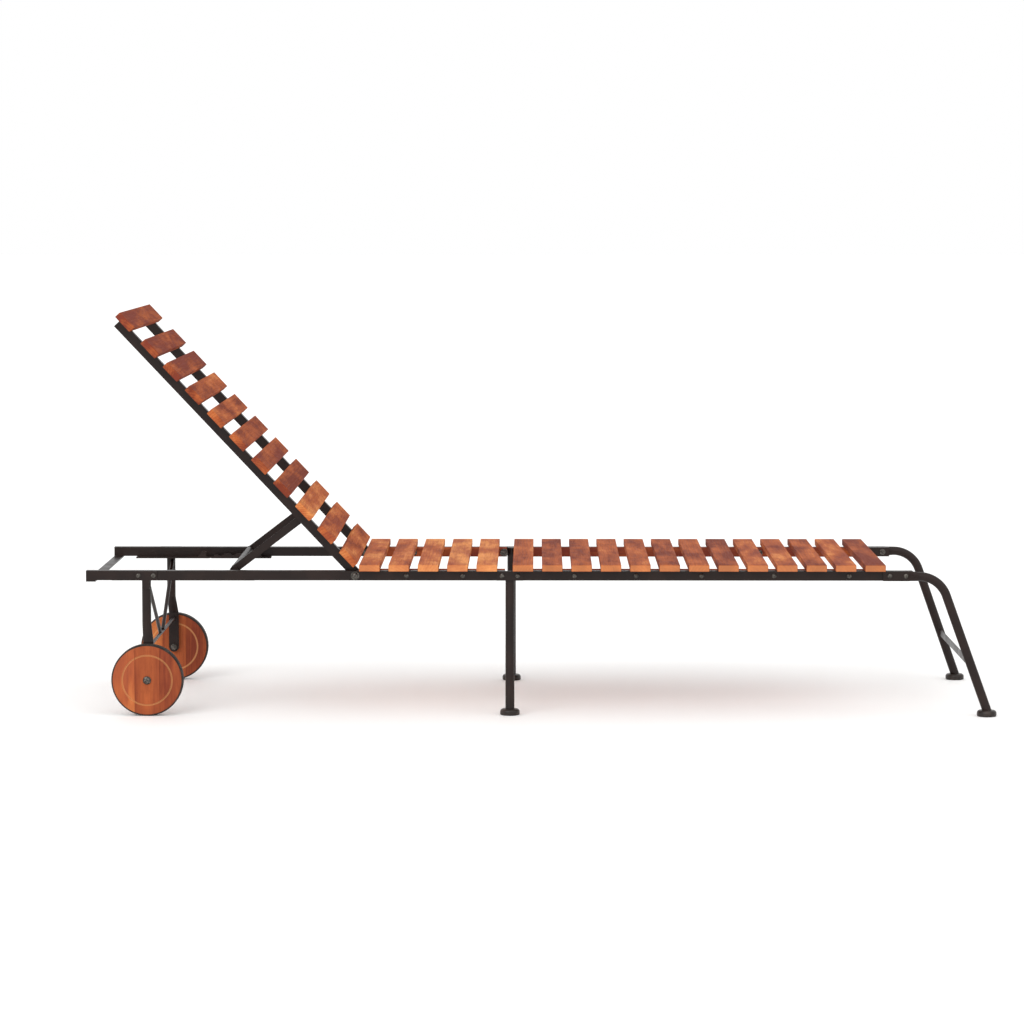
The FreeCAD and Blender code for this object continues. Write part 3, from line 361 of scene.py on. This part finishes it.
def moulded_plastic():
    m = Shading("glide_plastic")
    place = m.add("ShaderNodeTexCoord").outputs["Object"]
    grain = m.noise(place, scale=1100.0, detail=3.0)
    scuff = m.noise(place, scale=60.0, detail=4.0, roughness=0.6)
    tone = m.mix(m.spread(scuff, 0.4, 0.8), colour(32, 25, 22), colour(62, 51, 45))
    gloss = m.spread(scuff, 0.3, 0.8, 0.32, 0.50)
    return m.finish(Base_Color=tone, Roughness=gloss, Normal=m.bump(grain, 0.00015, 0.5),
                    Specular_IOR_Level=0.30)


finishes = wood_materials()
finishes["frame_paint"] = powder_coat()
finishes["bolt_steel"] = plain_metal("bolt_steel", colour(60, 57, 54), colour(112, 107, 101),
                                     0.85, 0.30)
finishes["screw_steel"] = plain_metal("screw_steel", colour(150, 148, 144),
                                      colour(196, 194, 190), 1.0, 0.30)
finishes["tyre_rubber"] = rubber()
finishes["glide_plastic"] = moulded_plastic()

for node_name, node in nodes.items():
    for material_slot in node.material_slots:
        material_slot.material = finishes[slot_of[node_name]]

# ---------------------------------------------------------------- weld beads

# a bead's radius, and places on the frame where its boxes alone don't tell where beads lie
BEAD = 0.0013
BEAD_SIDES = 8
BEAD_TIP = 0.4
BEAD_SWELL = 0.2
RIPPLE = 1.3
SQUARED = 0.5
RAIL_FACE_Y = 0.255
WHEEL_LEG_Y = 0.266
LEG_RADIUS = 0.0095
ARM_Y = 0.221
ARM_HALF = 0.0015
ARM_POINTS = 22
LIP_RISE = 0.013
LIP_EDGE = 0.0005
STITCH = 0.018
STITCH_COUNT = 5
STITCH_STEPS = 15
HEAD_STEPS = 20
BETWEEN_BARS_X = 0.3


def bead(name, body, path, flat_normal, closed):
    """A rippled weld along a flat path of points, painted over with the frame."""
    mesh = bmesh.new()
    rings = []
    count = len(path)
    for index, point in enumerate(path):
        ahead = path[(index + 1) % count] if closed else path[min(index + 1, count - 1)]
        behind = path[index - 1] if closed else path[max(index - 1, 0)]
        side = (ahead - behind).normalized().cross(flat_normal)
        end = not closed and index in (0, count - 1)
        radius = BEAD * (BEAD_TIP if end else 1 + BEAD_SWELL * math.sin(index * RIPPLE))
        turns = [math.tau * step / BEAD_SIDES for step in range(BEAD_SIDES)]
        rings.append([mesh.verts.new(point + (side * math.cos(t) + flat_normal * math.sin(t))
                                     * radius) for t in turns])
    for ring, following in zip(rings, rings[1:] + (rings[:1] if closed else [])):
        for step in range(BEAD_SIDES):
            around = (step + 1) % BEAD_SIDES
            mesh.faces.new((ring[step], ring[around], following[around], following[step]))
    if not closed:
        mesh.faces.new(rings[0])
        mesh.faces.new(rings[-1])
    bmesh.ops.recalc_face_normals(mesh, faces=mesh.faces)
    data = bpy.data.meshes.new(name)
    mesh.to_mesh(data)
    mesh.free()
    data.shade_smooth()
    data.materials.append(finishes["frame_paint"])
    weld = bpy.data.objects.new(name, data)
    bpy.context.scene.collection.objects.link(weld)
    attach(weld, body)


def arc(centre, across, up, start=-math.pi, end=math.pi, count=40, power=1.0):
    """Points round a centre from one angle to another; a lower power squares the corners."""
    def squared(value):
        return math.copysign(abs(value) ** power, value)
    turns = [start + (end - start) * (step + 0.5) / count for step in range(count)]
    return [centre + across * squared(math.cos(t)) + up * squared(math.sin(t)) for t in turns]


def leg_bar_welds():
    """Where the two flat bars meet the middle legs and the foot legs."""
    points = [vertex.co for vertex in nodes["leg_crossbars"].data.vertices]
    for name, bar in (("middle", [p for p in points if p.x < BETWEEN_BARS_X]),
                      ("foot", [p for p in points if p.x > BETWEEN_BARS_X])):
        low = Vector([min(p[axis] for p in bar) for axis in range(3)])
        high = Vector([max(p[axis] for p in bar) for axis in range(3)])
        half = (high - low) / 2
        for side, y in (("left", high.y), ("right", low.y)):
            centre = Vector(((low.x + high.x) / 2, y, (low.z + high.z) / 2))
            path = arc(centre, X * half.x, Z * half.z, power=SQUARED)
            bead(f"weld_{name}_bar_{side}", "frame", path, Y, True)


def wheel_end_welds():
    """Where the wheel legs meet the rails and their crossbar, and the head crossbar the rails."""
    rod_low, rod_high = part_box("wheel_leg_crossbar")
    rod = (rod_low + rod_high) / 2
    rod_radius = (rod_high.z - rod_low.z) / 2
    bar_low, bar_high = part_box("head_crossbar")
    leg_x = middle("wheel_leg_left").x
    rail_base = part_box("head_rail_left")[0].z
    steps = [(step + 0.5) / HEAD_STEPS for step in range(HEAD_STEPS)]
    for side, sign in (("left", 1), ("right", -1)):
        rod_end = Vector((rod.x, rod_high.y * sign, rod.z))
        bead(f"weld_rod_{side}", "frame", arc(rod_end, X * rod_radius, Z * rod_radius), Y, True)
        leg_top = Vector((leg_x, WHEEL_LEG_Y * sign, rail_base))
        bead(f"weld_leg_{side}", "frame", arc(leg_top, X * LEG_RADIUS, Y * LEG_RADIUS), Z, True)
        line = [Vector((bar_low.x + (bar_high.x - bar_low.x) * step, RAIL_FACE_Y * sign, rail_base))
                for step in steps]
        bead(f"weld_head_{side}", "frame", line, Z, False)


def rack_welds():
    """Short stitches along the top of the lip that holds each rack to its rail."""
    low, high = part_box("support_racks")
    lip_top = low.z + LIP_RISE
    run = (high.x - low.x) / STITCH_COUNT
    for side, sign in (("left", 1), ("right", -1)):
        for number in range(STITCH_COUNT):
            start = low.x + run * (number + 0.5) - STITCH / 2
            path = [Vector((start + STITCH * step / STITCH_STEPS,
                            (RAIL_FACE_Y - LIP_EDGE) * sign, lip_top))
                    for step in range(STITCH_STEPS + 1)]
            bead(f"weld_rack_{side}_{number + 1}", "frame", path, Z, False)


def support_welds():
    """Half rings where the support's arms meet its crossbar."""
    bar_low, bar_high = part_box("support_crossbar")
    centre = (bar_low + bar_high) / 2
    radius = (bar_high.z - bar_low.z) / 2
    pivot = Vector(joints["support_hinge"]["pos_m"])
    along = Vector((pivot.x - centre.x, 0, pivot.z - centre.z)).normalized() * radius
    over = along.cross(Y)
    for side, sign in (("left", 1), ("right", -1)):
        for face, offset in (("outer", ARM_HALF), ("inner", -ARM_HALF)):
            at = Vector((centre.x, (ARM_Y + offset) * sign, centre.z))
            path = arc(at, along, over, -math.pi / 2, math.pi / 2, ARM_POINTS)
            bead(f"weld_arm_{side}_{face}", "support", path, Y, False)


leg_bar_welds()
wheel_end_welds()
rack_welds()
support_welds()

# ---------------------------------------------------------------- floor and light

FLOOR_HALF = 60.0


def floor():
    mesh = bpy.data.meshes.new("floor")
    corners = [(sx * FLOOR_HALF, sy * FLOOR_HALF, 0) for sx, sy in
               ((-1, -1), (1, -1), (1, 1), (-1, 1))]
    mesh.from_pydata(corners, [], [(0, 1, 2, 3)])
    plane = bpy.data.objects.new("floor", mesh)
    bpy.context.scene.collection.objects.link(plane)
    m = Shading("floor")
    place = m.add("ShaderNodeTexCoord").outputs["Object"]
    cloud = m.noise(place, scale=3.0, detail=3.0)
    tone = m.mix(cloud, colour(247, 247, 246), colour(251, 251, 250))
    mesh.materials.append(m.finish(Base_Color=tone, Roughness=0.7))


def sun(name, pitch, turn, strength, spread):
    """A wide, far light: tilted from overhead by pitch, then turned about the upright."""
    data = bpy.data.lights.new(name, "SUN")
    data.energy = strength
    data.angle = math.radians(spread)
    light = bpy.data.objects.new(name, data)
    light.rotation_euler = (math.radians(pitch), 0, math.radians(turn))
    bpy.context.scene.collection.objects.link(light)


def studio():
    world = bpy.data.worlds.new("studio")
    world.use_nodes = True
    background = world.node_tree.nodes["Background"]
    background.inputs["Color"].default_value = (1.0, 1.0, 1.0, 1.0)
    background.inputs["Strength"].default_value = 1.0
    bpy.context.scene.world = world
    sun("key", pitch=58.0, turn=-28.0, strength=1.2, spread=40.0)
    sun("fill", pitch=50.0, turn=40.0, strength=0.5, spread=60.0)


floor()
studio()
